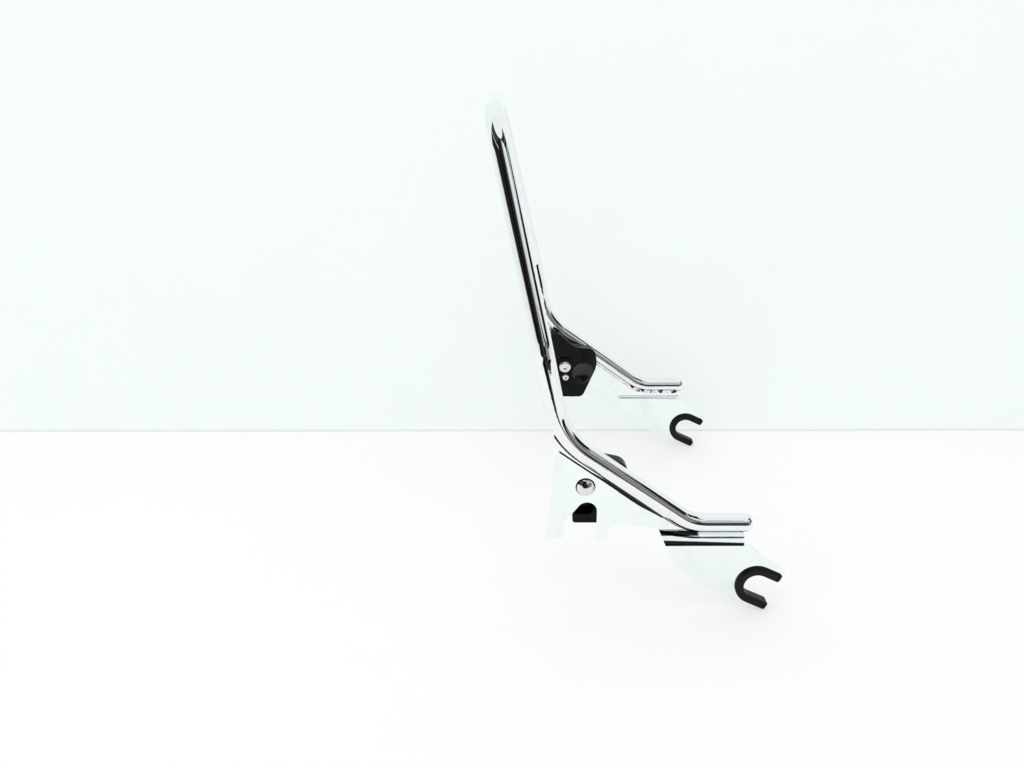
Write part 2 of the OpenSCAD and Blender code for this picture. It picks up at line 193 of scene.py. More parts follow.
class Studio(bpy.types.PropertyGroup):
    floor: colour("Floor", "Colour of the floor", (0.98, 0.98, 0.975))
    wall: colour("Wall", "Colour of the wall behind the part", (0.925, 0.98, 0.96))
    room: colour("Room", "Colour of the warm grey room that the chrome mirrors", (0.27, 0.25, 0.225))
    cool: colour("Cool", "Colour of the cool stripes that the chrome mirrors", (0.42, 0.47, 0.52))
    floor_glow: share("Floor glow", "Share of the floor that is seen as evenly lit", 0.5)
    wall_glow: share("Wall glow", "Share of the wall that is seen as evenly lit", 0.6)
    floor_height: length("Floor height", "Height of the floor", -0.0229)
    wall_place: length("Wall place", "Place of the wall along Y", 0.188)
    light_floor_end: length("Light floor end", "Place along Y where the mirrored floor turns dark", -0.54)
    screen_place: length("Screen place", "Place along Y of the dark screen that the chrome mirrors", -1.25)
    camera_place: FloatVectorProperty(
        name="Camera place", description="Place of the camera", default=(-0.199, -0.7305, 0.4077),
        unit="LENGTH", precision=5,
    )
    camera_tilt: angle("Camera tilt", "Tilt of the camera below level", 21.93)
    camera_turn: angle("Camera turn", "Turn of the camera to the right", 0.155)
    lens: FloatProperty(name="Lens", description="Focal length of the camera in millimetres", default=29.883)
    sensor: FloatProperty(name="Sensor", description="Width of the sensor in millimetres", default=36)


# Shader maths


class Wire:
    """An output socket that can stand in an expression: each operator adds one Math node."""

    def __init__(self, graph, socket):
        self.graph, self.socket = graph, socket

    def _math(self, operation, a, b):
        return self.graph.add("Math", {"operation": operation}, {0: a, 1: b})[0]

    def __add__(self, other):
        return self._math("ADD", self, other)

    __radd__ = __add__

    def __sub__(self, other):
        return self._math("SUBTRACT", self, other)

    def __rsub__(self, other):
        return self._math("SUBTRACT", other, self)

    def __mul__(self, other):
        return self._math("MULTIPLY", self, other)

    __rmul__ = __mul__

    def __truediv__(self, other):
        return self._math("DIVIDE", self, other)

    def __pow__(self, other):
        return self._math("POWER", self, other)

    def __abs__(self):
        return self._math("ABSOLUTE", self, 0)

    def step(self, low, high):
        """Rises smoothly from 0 at low to 1 at high."""
        inputs = {"Value": self, "From Min": low, "From Max": high}
        return self.graph.add("MapRange", {"interpolation_type": "SMOOTHSTEP"}, inputs)[0]

    def edge(self, middle, fade):
        """Rises smoothly from 0 to 1 over a distance fade on both sides of middle."""
        return self.step(middle - fade, middle + fade)

    def within(self, low, high, fade):
        """1 between low and high and 0 outside them, with soft edges."""
        return self.edge(low, fade) * (1 - self.edge(high, fade))


class Outputs:
    """A node's outputs, by name or by place."""

    def __init__(self, graph, node):
        self.graph, self.node = graph, node

    def __getitem__(self, key):
        return Wire(self.graph, self.node.outputs[key])


class Graph:
    """The nodes of a material or a world."""

    def __init__(self, owner):
        owner.use_nodes = True
        self.tree = owner.node_tree
        self.tree.nodes.clear()

    def add(self, kind, settings=None, inputs=None):
        """Adds a node of a type, applies its settings, and sets or links its inputs."""
        node = self.tree.nodes.new("ShaderNode" + kind)
        for key, value in (settings or {}).items():
            if key == "stops":
                ramp = node.color_ramp
                while len(ramp.elements) < len(value):
                    ramp.elements.new(1.0)
                for element, (place, shade) in zip(ramp.elements, value):
                    element.position = place
                    element.color = (*shade, 1)
            else:
                setattr(node, key, value)
        for key, value in (inputs or {}).items():
            if isinstance(value, Wire):
                self.tree.links.new(value.socket, node.inputs[key])
            else:
                node.inputs[key].default_value = value
        return Outputs(self, node)

    def place(self):
        """The object's own coordinates, in metres."""
        return self.add("TexCoord")["Object"]

    def spot(self):
        """The object's own X, Y and Z apart, in metres."""
        return self.add("SeparateXYZ", {}, {0: self.place()})

    def noise(self, scale, detail=3.0, roughness=0.5):
        """Cloudy noise between 0 and 1; scale is in lumps per metre."""
        inputs = {"Vector": self.place(), "Scale": scale, "Detail": detail, "Roughness": roughness}
        return self.add("TexNoise", {}, inputs)["Fac"]

    def mix(self, factor, a, b):
        """A colour that goes from a to b as factor goes from 0 to 1."""
        node = self.add("Mix", {"data_type": "RGBA"}, {"Factor": factor}).node
        for place, value in ((6, a), (7, b)):
            if isinstance(value, Wire):
                self.tree.links.new(value.socket, node.inputs[place])
            else:
                node.inputs[place].default_value = (*value, 1)
        return Wire(self, node.outputs[2])

    def bump(self, height, strength, distance):
        """A normal bent by a height."""
        return self.add("Bump", {}, {"Height": height, "Strength": strength, "Distance": distance})["Normal"]

    def surface(self, constants, **changing):
        """Ends the graph in a Principled surface. Constants stay on the sockets and the rest is linked."""
        inputs = dict(constants)
        inputs.update({key.replace("_", " "): value for key, value in changing.items()})
        shader = self.add("BsdfPrincipled", {}, inputs)[0]
        self.add("OutputMaterial", {}, {"Surface": shader})


# Finishes


def times(shade, factor):
    """A colour with each channel multiplied by a factor."""
    return tuple(channel * factor for channel in shade)


def chrome(name, shade, smudges, specks=0.0, dark=None):
    """Bright plated metal, dulled by cloudy smudges and a few specks, with a slight orange peel.

    dark is a function of the graph that gives a mask of painted shade and painted reflections, the places
    where the metal is painted almost black.
    """
    material = bpy.data.materials.new(name)
    graph = Graph(material)
    haze = graph.noise(38, 5, 0.62).step(0.48, 0.78) * smudges
    grain = graph.noise(900, 2).step(0.66, 0.74) * specks
    base = graph.mix(haze * 0.5 + grain * 0.5, tuple(shade), times(shade, 0.72))
    # Painted shade and painted reflections: the masked places get an almost black colour.
    if dark:
        base = graph.mix(dark(graph), base, times(shade, 0.02))
    roughness = 0.035 + haze * 0.13 + grain * 0.3
    peel = graph.bump(graph.noise(150, 2) + graph.noise(1200, 1) * 0.06, 0.12, 0.0004)
    graph.surface({"Metallic": 1.0}, Base_Color=base, Roughness=roughness, Normal=peel)
    return material


def painted_plate_shade(graph, shape, marks):
    """Mask of painted shade and painted reflections on the plates, where their chrome is painted almost
    black: a streak of painted shade under the sloping rail, along the weld, and lines of painted reflection
    on the fold and on the inner face.

    The distance below the rail's axis is (front bend - x) sin(slope) + (rail height - z) cos(slope), and the
    distance up the slope is (front bend - x) cos(slope) - (rail height - z) sin(slope). The streak lies
    against the rail low on the slope, where it is widest, and parts from it higher up.
    """
    spot = graph.spot()
    x, z = spot[0] - shape.front_bend_place, spot[2] - shape.rail_height
    outside = abs(spot[1]).edge(marks.outer_side, 0.0005)
    wavy = graph.noise(500, 2) * marks.streak_waviness
    below = x * -math.sin(shape.slope) - z * math.cos(shape.slope) + wavy
    along = x * -math.cos(shape.slope) + z * math.sin(shape.slope)
    top = along.step(marks.parting_start, marks.parting_end) * marks.streak_parting + marks.streak_drop
    swell = along.step(0.018, 0.045) * (1 - along.step(0.055, 0.095))
    width = swell * marks.streak_swell + marks.streak_width
    past = below - top
    streak = past.step(-0.0002, 0.0) * (1 - (past - width).step(0.0, 0.0003))
    streak = streak * along.edge(marks.streak_start, 0.0015) * (1 - along.edge(marks.streak_end, 0.001))
    upper = z.within(-marks.upper_bottom, -marks.upper_top, 0.0002)
    upper = upper * x.edge(-marks.upper_start, 0.0005) * (1 - x.edge(marks.upper_end, 0.001))
    fold = x.edge(-marks.fold_start, 0.001)
    lower = z.edge(-marks.lower_bottom, 0.0002) * fold
    lower = lower * (1 - (z + x * marks.lower_taper).edge(-marks.lower_top, 0.0002))
    inner = z.within(-marks.inner_bottom, -marks.inner_top, 0.00015) * fold
    # The streak is painted shade; the upper, lower and inner lines are painted reflections.
    outer = 1 - (1 - streak) * (1 - upper) * (1 - lower)
    return outer * outside + inner * (1 - outside) * 0.8


def weld_metal(name, shade, inner_side, painted_shade_from):
    """Plated weld bead: chrome with a coarser skin.

    The outer bead is painted almost black on the slope, behind the place where its painted shade starts, and
    the inner one is pitted in front of it.
    """
    material = bpy.data.materials.new(name)
    graph = Graph(material)
    lumps = graph.noise(420, 4, 0.6)
    spot = graph.spot()
    slope = 1 - spot[0].edge(painted_shade_from, 0.005)
    inside = 1 - abs(spot[1]).edge(inner_side, 0.0005)
    pits = inside * graph.noise(170, 2, 0.4).step(0.52, 0.56)
    bright = graph.mix(lumps.step(0.35, 0.6), times(shade, 0.6), tuple(shade))
    # Painted shade: the outer bead on the slope gets an almost black colour; the pits are the bead's own.
    base = graph.mix(slope * (1 - inside) + pits * (1 - slope), bright, times(shade, 0.03))
    bump = graph.bump(lumps, 0.5, 0.0006)
    graph.surface({"Metallic": 1.0}, Base_Color=base, Roughness=0.1 + lumps * 0.12, Normal=bump)
    return material


def rubber(name, shade):
    """Matt moulded rubber with a fine grain and a little pale dust in broad patches."""
    material = bpy.data.materials.new(name)
    graph = Graph(material)
    dust = graph.noise(90, 5, 0.6).step(0.5, 0.85)
    grain = graph.noise(2600, 2)
    base = graph.mix(dust * 0.3, tuple(shade), (0.03, 0.032, 0.033))
    graph.surface(
        {"Specular IOR Level": 0.16},
        Base_Color=base, Roughness=0.36 + dust * 0.2 + grain * 0.08, Normal=graph.bump(grain, 0.25, 0.0003),
    )
    return material


def gloss_black(name, shade, polished):
    """Glossy black moulding with faint wipe marks and a slight waviness.

    polished is a function of the graph that gives a mask of the places with more gloss.
    """
    material = bpy.data.materials.new(name)
    graph = Graph(material)
    wipes = graph.noise(60, 4, 0.6).step(0.5, 0.8)
    wave = graph.noise(110, 2) + graph.noise(900, 1) * 0.05
    base = graph.mix(wipes, tuple(shade), (0.007, 0.008, 0.009))
    graph.surface(
        {"Specular IOR Level": 0.12, "Coat Roughness": 0.12, "Coat IOR": 1.6},
        Base_Color=base, Roughness=0.13 + wipes * 0.16, Coat_Weight=polished(graph),
        Normal=graph.bump(wave, 0.15, 0.0005),
    )
    return material


# Surfaces


def unit(vector):
    """A vector divided by its length."""
    return vector / np.linalg.norm(vector)


def turned(vector, axis, angles):
    """A vector turned about a unit axis: v cos a + (k x v) sin a + k (k.v)(1 - cos a), for each angle a."""
    c, s = np.cos(angles)[:, None], np.sin(angles)[:, None]
    return vector * c + np.cross(axis, vector) * s + axis * (axis @ vector) * (1 - c)


def carried(corners, radii, spacing):
    """Centres and section axes along a path of straights and bends.

    On a straight the centre moves evenly from one end to the other and the axes keep still.
    On a bend the centre is the bend's middle plus radius times the turned outward direction,
    and both axes turn with it. The first axis starts downwards and the second towards +Y.
    """
    corners = [np.asarray(c, float) for c in corners]
    down, across = np.array([0.0, 0, -1]), np.array([0.0, 1, 0])
    centres, firsts, seconds, start = [], [], [], corners[0]
    for before, at, after, radius in zip(corners, corners[1:], [*corners[2:], None], [*radii[1:-1], 0]):
        travel = unit(at - before)
        turn = 0.0
        if after is not None:
            onward = unit(after - at)
            turn = math.acos(np.clip(travel @ onward, -1, 1))
        end = at - travel * radius * math.tan(turn / 2)
        count = max(int(np.linalg.norm(end - start) / spacing), 1)
        centres.append(start + np.linspace(0, 1, count + 1)[:, None] * (end - start))
        firsts.append(np.tile(down, (count + 1, 1)))
        seconds.append(np.tile(across, (count + 1, 1)))
        if after is None:
            break
        axis = unit(np.cross(travel, onward))
        inward = np.cross(axis, travel)
        count = max(int(radius * turn / min(spacing, 0.0016)), 6)
        angles = np.linspace(0, turn, count + 2)[1:-1]
        middle = end + inward * radius
        centres.append(middle + turned(-inward * radius, axis, angles))
        firsts.append(turned(down, axis, angles))
        seconds.append(turned(across, axis, angles))
        full = np.array([turn])
        start = middle + turned(-inward * radius, axis, full)[0]
        down, across = turned(down, axis, full)[0], turned(across, axis, full)[0]
    return np.vstack(centres), np.vstack(firsts), np.vstack(seconds)


def rounded(corners, steps=5):
    """Outline points of a polygon whose corners are [x, y, radius], each an arc about its own centre."""
    corners = np.asarray(corners, float)
    points = []
    for before, at, after in zip(np.roll(corners, 1, 0), corners, np.roll(corners, -1, 0)):
        if at[2] == 0:
            points.append(at[None, :2])
            continue
        back, on = unit(before[:2] - at[:2]), unit(after[:2] - at[:2])
        half = math.acos(np.clip(back @ on, -1, 1)) / 2
        centre = at[:2] + unit(back + on) * at[2] / math.sin(half)
        first = at[:2] + back * at[2] / math.tan(half) - centre
        last = at[:2] + on * at[2] / math.tan(half) - centre
        sweep = math.atan2(first[0] * last[1] - first[1] * last[0], first @ last)
        a = math.atan2(first[1], first[0]) + np.linspace(0, sweep, steps + 1)
        points.append(centre + at[2] * np.stack([np.cos(a), np.sin(a)], 1))
    return np.vstack(points)


def skin(name, rings, material, body, replaced):
    """A closed skin over rings of points [ring, point, xyz], with a fan that closes each end ring."""
    count, around = rings.shape[:2]
    points = np.vstack([rings.reshape(-1, 3), rings[0].mean(0), rings[-1].mean(0)])
    here = (np.arange(count - 1)[:, None] * around + np.arange(around)).ravel()
    beside = (np.arange(count - 1)[:, None] * around + (np.arange(around) + 1) % around).ravel()
    quads = np.stack([here, beside, beside + around, here + around], 1)
    k = np.arange(around)
    fan = np.stack([np.full(around, count * around), (k + 1) % around, k], 1)
    base = (count - 1) * around
    far_fan = np.stack([np.full(around, count * around + 1), base + k, base + (k + 1) % around], 1)
    triangles = np.vstack([quads[:, [0, 1, 2]], quads[:, [0, 2, 3]], fan, far_fan])
    a, b, c = (points[triangles[:, i]] for i in range(3))
    if np.einsum("ij,ij->i", a, np.cross(b, c)).sum() < 0:
        quads, fan, far_fan = quads[:, ::-1], fan[:, ::-1], far_fan[:, ::-1]
    mesh = bpy.data.meshes.new(name)
    mesh.from_pydata(points.tolist(), [], [*quads.tolist(), *fan.tolist(), *far_fan.tolist()])
    mesh.polygons.foreach_set("use_smooth", np.ones(len(mesh.polygons), bool))
    mesh.materials.append(material)
    mesh.validate()
    piece = bpy.data.objects.new(name, mesh)
    bpy.context.scene.collection.objects.link(piece)
    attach(piece, body)
    if replaced:
        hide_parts(*replaced)
    return piece


def rail_corners(shape):
    """Corners of the right rail and the lower leg, from the front end to the kink."""
    y = -shape.rail_spacing / 2
    front = np.array([shape.front_bend_place, y, shape.rail_height])
    rear = front + shape.slope_length * np.array([-math.cos(shape.slope), 0, math.sin(shape.slope)])
    kink = rear + shape.lower_length * np.array([-math.sin(shape.lower_lean), 0, math.cos(shape.lower_lean)])
    return front, rear, kink


def softened(node, name, width, material, body, segments=3):
    """A copy of a frame node, merged, with its sharp edges rounded."""
    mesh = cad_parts[node].data.copy()
    mesh.name = name
    work = bmesh.new()
    work.from_mesh(mesh)
    bmesh.ops.remove_doubles(work, verts=work.verts, dist=SAME_POINT)
    bmesh.ops.dissolve_limit(
        work, angle_limit=SAME_PLANE, verts=work.verts, edges=work.edges, use_dissolve_boundaries=False
    )
    work.to_mesh(mesh)
    work.free()
    if mesh.has_custom_normals:
        mesh.attributes.remove(mesh.attributes["custom_normal"])
    mesh.polygons.foreach_set("use_smooth", np.ones(len(mesh.polygons), bool))
    mesh.materials.clear()
    mesh.materials.append(material)
    piece = bpy.data.objects.new(name, mesh)
    bpy.context.scene.collection.objects.link(piece)
    bevel = piece.modifiers.new("Rounded edges", "BEVEL")
    bevel.width, bevel.segments = width, segments
    bevel.limit_method, bevel.angle_limit = "ANGLE", SHARP_EDGE
    bevel.miter_outer = "MITER_ARC"
    bevel.harden_normals = False
    weighted = piece.modifiers.new("Even shading", "WEIGHTED_NORMAL")
    weighted.keep_sharp = False
    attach(piece, body)
    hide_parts(node)


def dress(nodes, material):
    """Gives frame nodes a material in place of their plain one."""
    for name in nodes:
        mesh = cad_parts[name].data
        mesh.materials.clear()
        mesh.materials.append(material)


class SISSYBAR_OT_round_bar(bpy.types.Operator):
    """Builds the chromed bar as one round section carried along its straights and bends"""

    bl_idname = "sissy_bar.round_bar"
    bl_label = "Round Bar"

    def execute(self, context):
        shape, finish = context.scene.sissy_bar, context.scene.sissy_finish
        front, rear, kink = rail_corners(shape)
        start = np.array([shape.front_face - shape.end_round, front[1], shape.rail_height])
        top_x = kink[0] - (shape.top_height - kink[2]) * math.tan(shape.upper_lean)
        half = [start, front, rear, kink, np.array([top_x, -shape.top_width / 2, shape.top_height])]
        over = np.array([1, -1, 1])
        corners = half + [corner * over for corner in reversed(half)]
        bends = [0, shape.front_bend_radius, shape.rear_bend_radius, shape.kink_radius, shape.top_radius]
        centres, firsts, seconds = carried(corners, bends + bends[::-1], 0.004)
        radius = shape.diameter / 2
        # At both ends the section shrinks by a quarter circle of the end rounding.
        edge = np.linspace(0, QUARTER_TURN, 13)[:-1]
        ahead = np.array([1.0, 0, 0]) * (shape.end_round * np.cos(edge))[:, None]
        rounding = radius - shape.end_round + shape.end_round * np.sin(edge)
        sizes = np.concatenate([rounding, np.full(len(centres), radius), rounding[::-1]])
        centres = np.vstack([centres[0] + ahead, centres, (centres[-1] + ahead)[::-1]])
        firsts, seconds = (
            np.vstack([np.tile(axes[0], (len(edge), 1)), axes, np.tile(axes[-1], (len(edge), 1))])
            for axes in (firsts, seconds)
        )
        a = np.linspace(0, 2 * math.pi, shape.around, endpoint=False)
        circle = firsts[:, None] * np.cos(a)[None, :, None] + seconds[:, None] * np.sin(a)[None, :, None]
        rings = centres[:, None] + sizes[:, None, None] * circle
        metal = chrome("Bar chrome", finish.bar, finish.smudges * 0.5)
        skin("round_bar", rings, metal, "frame", ["upright_bar"])
        return {"FINISHED"}


class SISSYBAR_OT_weld_beads(bpy.types.Operator):
    """Builds the rippled weld beads between the rails and the plates"""

    bl_idname = "sissy_bar.weld_beads"
    bl_label = "Weld Beads"

    def execute(self, context):
        shape, bead = context.scene.sissy_bar, context.scene.sissy_weld
        finish, marks = context.scene.sissy_finish, context.scene.sissy_marks
        # The outer bead is painted dark, as painted shade, behind this place.
        painted_shade_from = shape.front_bend_place - bead.painted_shade_from
        metal = weld_metal("Weld chrome with painted shade", finish.bar, marks.inner_side, painted_shade_from)
        front, rear, kink = rail_corners(shape)
        start = np.array([bead.front, front[1], shape.rail_height])
        centres, firsts, seconds = carried(
            [start, front, rear, kink], [0, shape.front_bend_radius, shape.rear_bend_radius, 0], 0.0005
        )
        keep = centres[:, 0] > bead.rear
        centres, firsts, seconds = centres[keep], firsts[keep], seconds[keep]
        # The radius swells with |sin| of the length along the bead, and grows with its root at both ends.
        along = np.concatenate([[0], np.cumsum(np.linalg.norm(np.diff(centres, axis=0), axis=1))])
        ends = np.sqrt(np.clip(np.minimum(along, along[-1] - along) / bead.radius, 0.02, 1))
        ripple = bead.ripple * np.abs(np.sin(math.pi * along / bead.pitch + 0.6 * np.sin(along * 190)))
        sizes = (bead.radius + ripple - bead.ripple) * ends
        a = np.linspace(0, 2 * math.pi, bead.around, endpoint=False)
        radius = shape.diameter / 2
        places = {
            "outer": (radius + bead.outer_gap, bead.outer_inset),
            "inner": (bead.inner_drop, bead.inner_inset),
        }
        for face, (drop, inset) in places.items():
            first = drop + sizes[:, None] * np.cos(a)
            second = np.minimum(inset + sizes[:, None] * np.sin(a), radius - 0.00005)
            rings = centres[:, None] + first[..., None] * firsts[:, None]
            rings = rings + second[..., None] * seconds[:, None]
            for side, sign in SIDES.items():
                over = np.array([1, -sign, 1])
                skin(
                    f"weld_bead_{face}_{side}", rings * over, metal, "frame",
                    [f"rail_weld_{face}_{side}"],
                )
        return {"FINISHED"}


class SISSYBAR_OT_dock_liners(bpy.types.Operator):
    """Builds the rubber liners as a channel section carried round each front dock"""

    bl_idname = "sissy_bar.dock_liners"
    bl_label = "Dock Liners"

    def execute(self, context):
        shape = context.scene.sissy_liner
        material = rubber("Rubber", context.scene.sissy_finish.rubber)
        slot, rim, edge = shape.slot_radius, shape.rim_radius, shape.rounding
        half, plate = shape.plate / 2 + shape.flange, shape.plate / 2
        section = rounded([
            [slot, -half, edge * 0.6], [slot, half, edge * 0.6], [rim, half, edge], [rim, plate, edge * 0.3],
            [slot + shape.web, plate, 0], [slot + shape.web, -plate, 0],
            [rim, -plate, edge * 0.3], [rim, -half, edge],
        ])
        # The section turns half a circle round the dock and runs straight on to two tips, where it shrinks.
        centre = np.array([(slot + rim) / 2, 0.0])
        round_back = np.linspace(QUARTER_TURN, 3 * QUARTER_TURN, 41)
        tip = np.linspace(0, 1, 12)[:-1]
        rounding = (rim - slot) / 2
        upper_start, lower_end = shape.upper_arm - rounding, shape.lower_arm - rounding
        upper, lower = np.linspace(upper_start, 0, 8)[:-1], np.linspace(0, lower_end, 9)[1:]
        base = np.concatenate([
            (upper_start + rounding * tip)[::-1], upper,
            np.zeros(len(round_back)),
            lower, lower_end + rounding * tip,
        ])
        facing = np.concatenate([
            np.full(len(tip) + len(upper), round_back[0]),
            round_back,
            np.full(len(lower) + len(tip), round_back[-1]),
        ])
        fullness = 2.2
        shrink = (1 - tip**fullness) ** (1 / fullness)
        size = np.concatenate([shrink[::-1], np.ones(len(upper) + len(round_back) + len(lower)), shrink])
        outline = centre + (section - centre)[None] * size[:, None, None]
        reach, sideways = outline[..., 0], outline[..., 1]
        along = base[:, None] + reach * np.cos(facing)[:, None]
        across = reach * np.sin(facing)[:, None]
        c, s = math.cos(shape.mouth), math.sin(shape.mouth)
        x, z = along * c + across * s, -along * s + across * c
        for side, sign in SIDES.items():
            low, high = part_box(f"front_liner_{side}")
            rings = np.stack([x, sideways + (low.y + high.y) / 2, z], -1)
            skin(f"dock_liner_{side}", rings, material, "frame", [f"front_liner_{side}"])
        return {"FINISHED"}


class SISSYBAR_OT_side_plates(bpy.types.Operator):
    """Gives the side plates their softened edges and bright plating"""

    bl_idname = "sissy_bar.side_plates"
    bl_label = "Side Plates"

    def execute(self, context):
        shape, marks = context.scene.sissy_bar, context.scene.sissy_marks
        finish = context.scene.sissy_finish
        # The plates' chrome carries painted shade and painted reflections under the rail and on the fold.
        metal = chrome(
            "Plate chrome", finish.plate, finish.smudges, 0.8, lambda graph: painted_plate_shade(graph, shape, marks)
        )
        for side in SIDES:
            softened(
                f"side_plate_{side}", f"plate_{side}", finish.plate_edge, metal, "frame", 2
            )
        return {"FINISHED"}


class SISSYBAR_OT_latches(bpy.types.Operator):
    """Finishes the latches' levers, washers, bolts and screws, and closes each hook on the inner face"""

    bl_idname = "sissy_bar.latches"
    bl_label = "Latches"

    def execute(self, context):
        finish, latch = context.scene.sissy_finish, context.scene.sissy_latch
        black = gloss_black("Gloss black", finish.black, lambda graph: self.dish(graph, latch, finish))
        metal = chrome("Screw chrome", finish.screw, finish.smudges * 0.6)
        # The bolts' chrome gets a dark ring of painted shade round the dome's base.
        shaded_rim_chrome = chrome(
            "Bolt chrome with painted shade", finish.screw, finish.smudges * 0.6, 0, lambda graph: self.rim(graph, latch)
        )
        for side in SIDES:
            softened(
                f"latch_lever_{side}", f"lever_{side}",
                finish.lever_edge, black, f"latch_{side}",
            )
            self.web(latch, side, black)
        dress([f"latch_washer_{side}" for side in SIDES], rubber("Washer", finish.washer))
        dress([f"{kind}_{side}" for kind in ("pivot_screw", "keeper_screw") for side in SIDES], metal)
        dress([f"pivot_bolt_{side}" for side in SIDES], shaded_rim_chrome)
        return {"FINISHED"}

    def away(self, graph, at_x, at_z):
        """Distance from a line across the bike at a given X and Z."""
        spot = graph.spot()
        x, z = spot[0] - at_x, spot[2] - at_z
        return (x * x + z * z) ** 0.5

    def dish(self, graph, shape, finish):
        """Mask of the finger dish on the lever's inner face, a round place in front of the pivot."""
        away = self.away(graph, shape.pivot_x + shape.dish_ahead, shape.pivot_z - shape.dish_below)
        return (1 - away.edge(shape.dish_radius, 0.001)) * finish.dish_gloss

    def rim(self, graph, shape):
        """Mask of the dark ring of painted shade round the domed bolt's base."""
        start = shape.bolt_radius - shape.bolt_shade_rim
        return self.away(graph, shape.pivot_x, shape.pivot_z).step(start, start + shape.bolt_shade_rim * 0.4)

    def web(self, shape, side, material):
        """The thin wall that closes the hook's slot on the lever's inner face.

        A four-sided section is carried round the pivot from the slot's round end to its mouth. Its outer
        side is flat and its inner side follows the crown, a cylinder about an upright axis.
        """
        sign = SIDES[side]
        low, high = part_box(f"latch_lever_{side}")
        outer, inner = (high.y, low.y) if sign > 0 else (low.y, high.y)
        crest = inner + sign * shape.hub
        a = -np.linspace(shape.slot_end, shape.slot_mouth, 19)[:, None]
        radii = np.array([shape.slot_inner, shape.slot_outer, shape.slot_outer, shape.slot_inner])
        x, z = radii * np.cos(a), radii * np.sin(a)
        drop = shape.crown_radius - np.sqrt(shape.crown_radius**2 - (x - shape.crown_middle) ** 2)
        y = crest + sign * (drop + shape.recess)
        y[:, 2:] = outer - sign * shape.pocket
        rings = np.stack([x + shape.pivot_x, y, z + shape.pivot_z], -1)
        piece = skin(f"lever_web_{side}", rings, material, f"latch_{side}", [])
        piece.data.polygons.foreach_set("use_smooth", np.zeros(len(piece.data.polygons), bool))


# Stage


def sheet(name, corner, first, second, material, **shown):
    """A flat sheet of the stage: points corner + u first + v second, with u and v from 0 to 1."""
    u, v = np.meshgrid(np.linspace(0, 1, 3), np.linspace(0, 1, 3), indexing="ij")
    points = np.asarray(corner) + u[..., None] * np.asarray(first) + v[..., None] * np.asarray(second)
    at = (np.arange(2)[:, None] * 3 + np.arange(2)).ravel()
    mesh = bpy.data.meshes.new(name)
    mesh.from_pydata(points.reshape(-1, 3).tolist(), [], np.stack([at, at + 3, at + 4, at + 1], 1).tolist())
    mesh.materials.append(material)
    flat = bpy.data.objects.new(name, mesh)
    bpy.context.scene.collection.objects.link(flat)
    for key, value in shown.items():
        setattr(flat, key, value)


def matt(name, shade, glow, crease_shade_height=None, one_sided=False):
    """A matt stage surface with a faint mottle. A one-sided one is clear from behind.

    The camera and the chrome see a share of it, glow, as evenly lit. The fourth argument is the height of a
    faint line of painted shade at its base, where the surface meets the floor.
    """
    material = bpy.data.materials.new(name)
    graph = Graph(material)
    base = graph.mix(graph.noise(3, 3).step(0.3, 0.8), tuple(shade), times(shade, 0.985))
    if crease_shade_height is not None:
        # Painted shade: a faint darker line just above the floor.
        base = graph.mix(graph.spot()[2].step(crease_shade_height + 0.001, crease_shade_height + 0.004), times(shade, 0.86), base)
    shader = graph.add("BsdfDiffuse", {}, {"Color": base})[0]
    even = graph.add("Emission", {}, {"Color": base, "Strength": 1.03})[0]
    path = graph.add("LightPath")
    seen = (path["Is Camera Ray"] + path["Is Glossy Ray"]) * glow
    shader = graph.add("MixShader", {}, {0: seen, 1: shader, 2: even})[0]
    if one_sided:
        clear = graph.add("BsdfTransparent")[0]
        behind = graph.add("NewGeometry")["Backfacing"]
        shader = graph.add("MixShader", {}, {0: behind, 1: shader, 2: clear})[0]
    graph.add("OutputMaterial", {}, {"Surface": shader})
    return material


def dark(name, across, middle, upward, floor_height):
    """A dark surrounding that only the chrome mirrors, from three lists of colour stops.

    It has upright stripes over the first two metres along X, and above the floor two fields of level ones
    over the first two metres of height, one in the middle and one on the right.
    """
    material = bpy.data.materials.new(name)
    graph = Graph(material)
    spot = graph.spot()
    height = (spot[2] - floor_height) / 2
    upright = graph.add("ValToRGB", {"stops": across}, {0: (spot[0] + 0.9) / 2})[0]
    centre = graph.add("ValToRGB", {"stops": middle}, {0: height})[0]
    right = graph.add("ValToRGB", {"stops": upward}, {0: height})[0]
    above = height.step(0.002, 0.003)
    shade = graph.mix(above * spot[0].step(0.15, 0.19), upright, centre)
    shade = graph.mix(above * spot[0].step(0.46, 0.50), shade, right)
    shader = graph.add("Emission", {}, {"Color": shade, "Strength": 1.0})[0]
    graph.add("OutputMaterial", {}, {"Surface": shader})
    return material


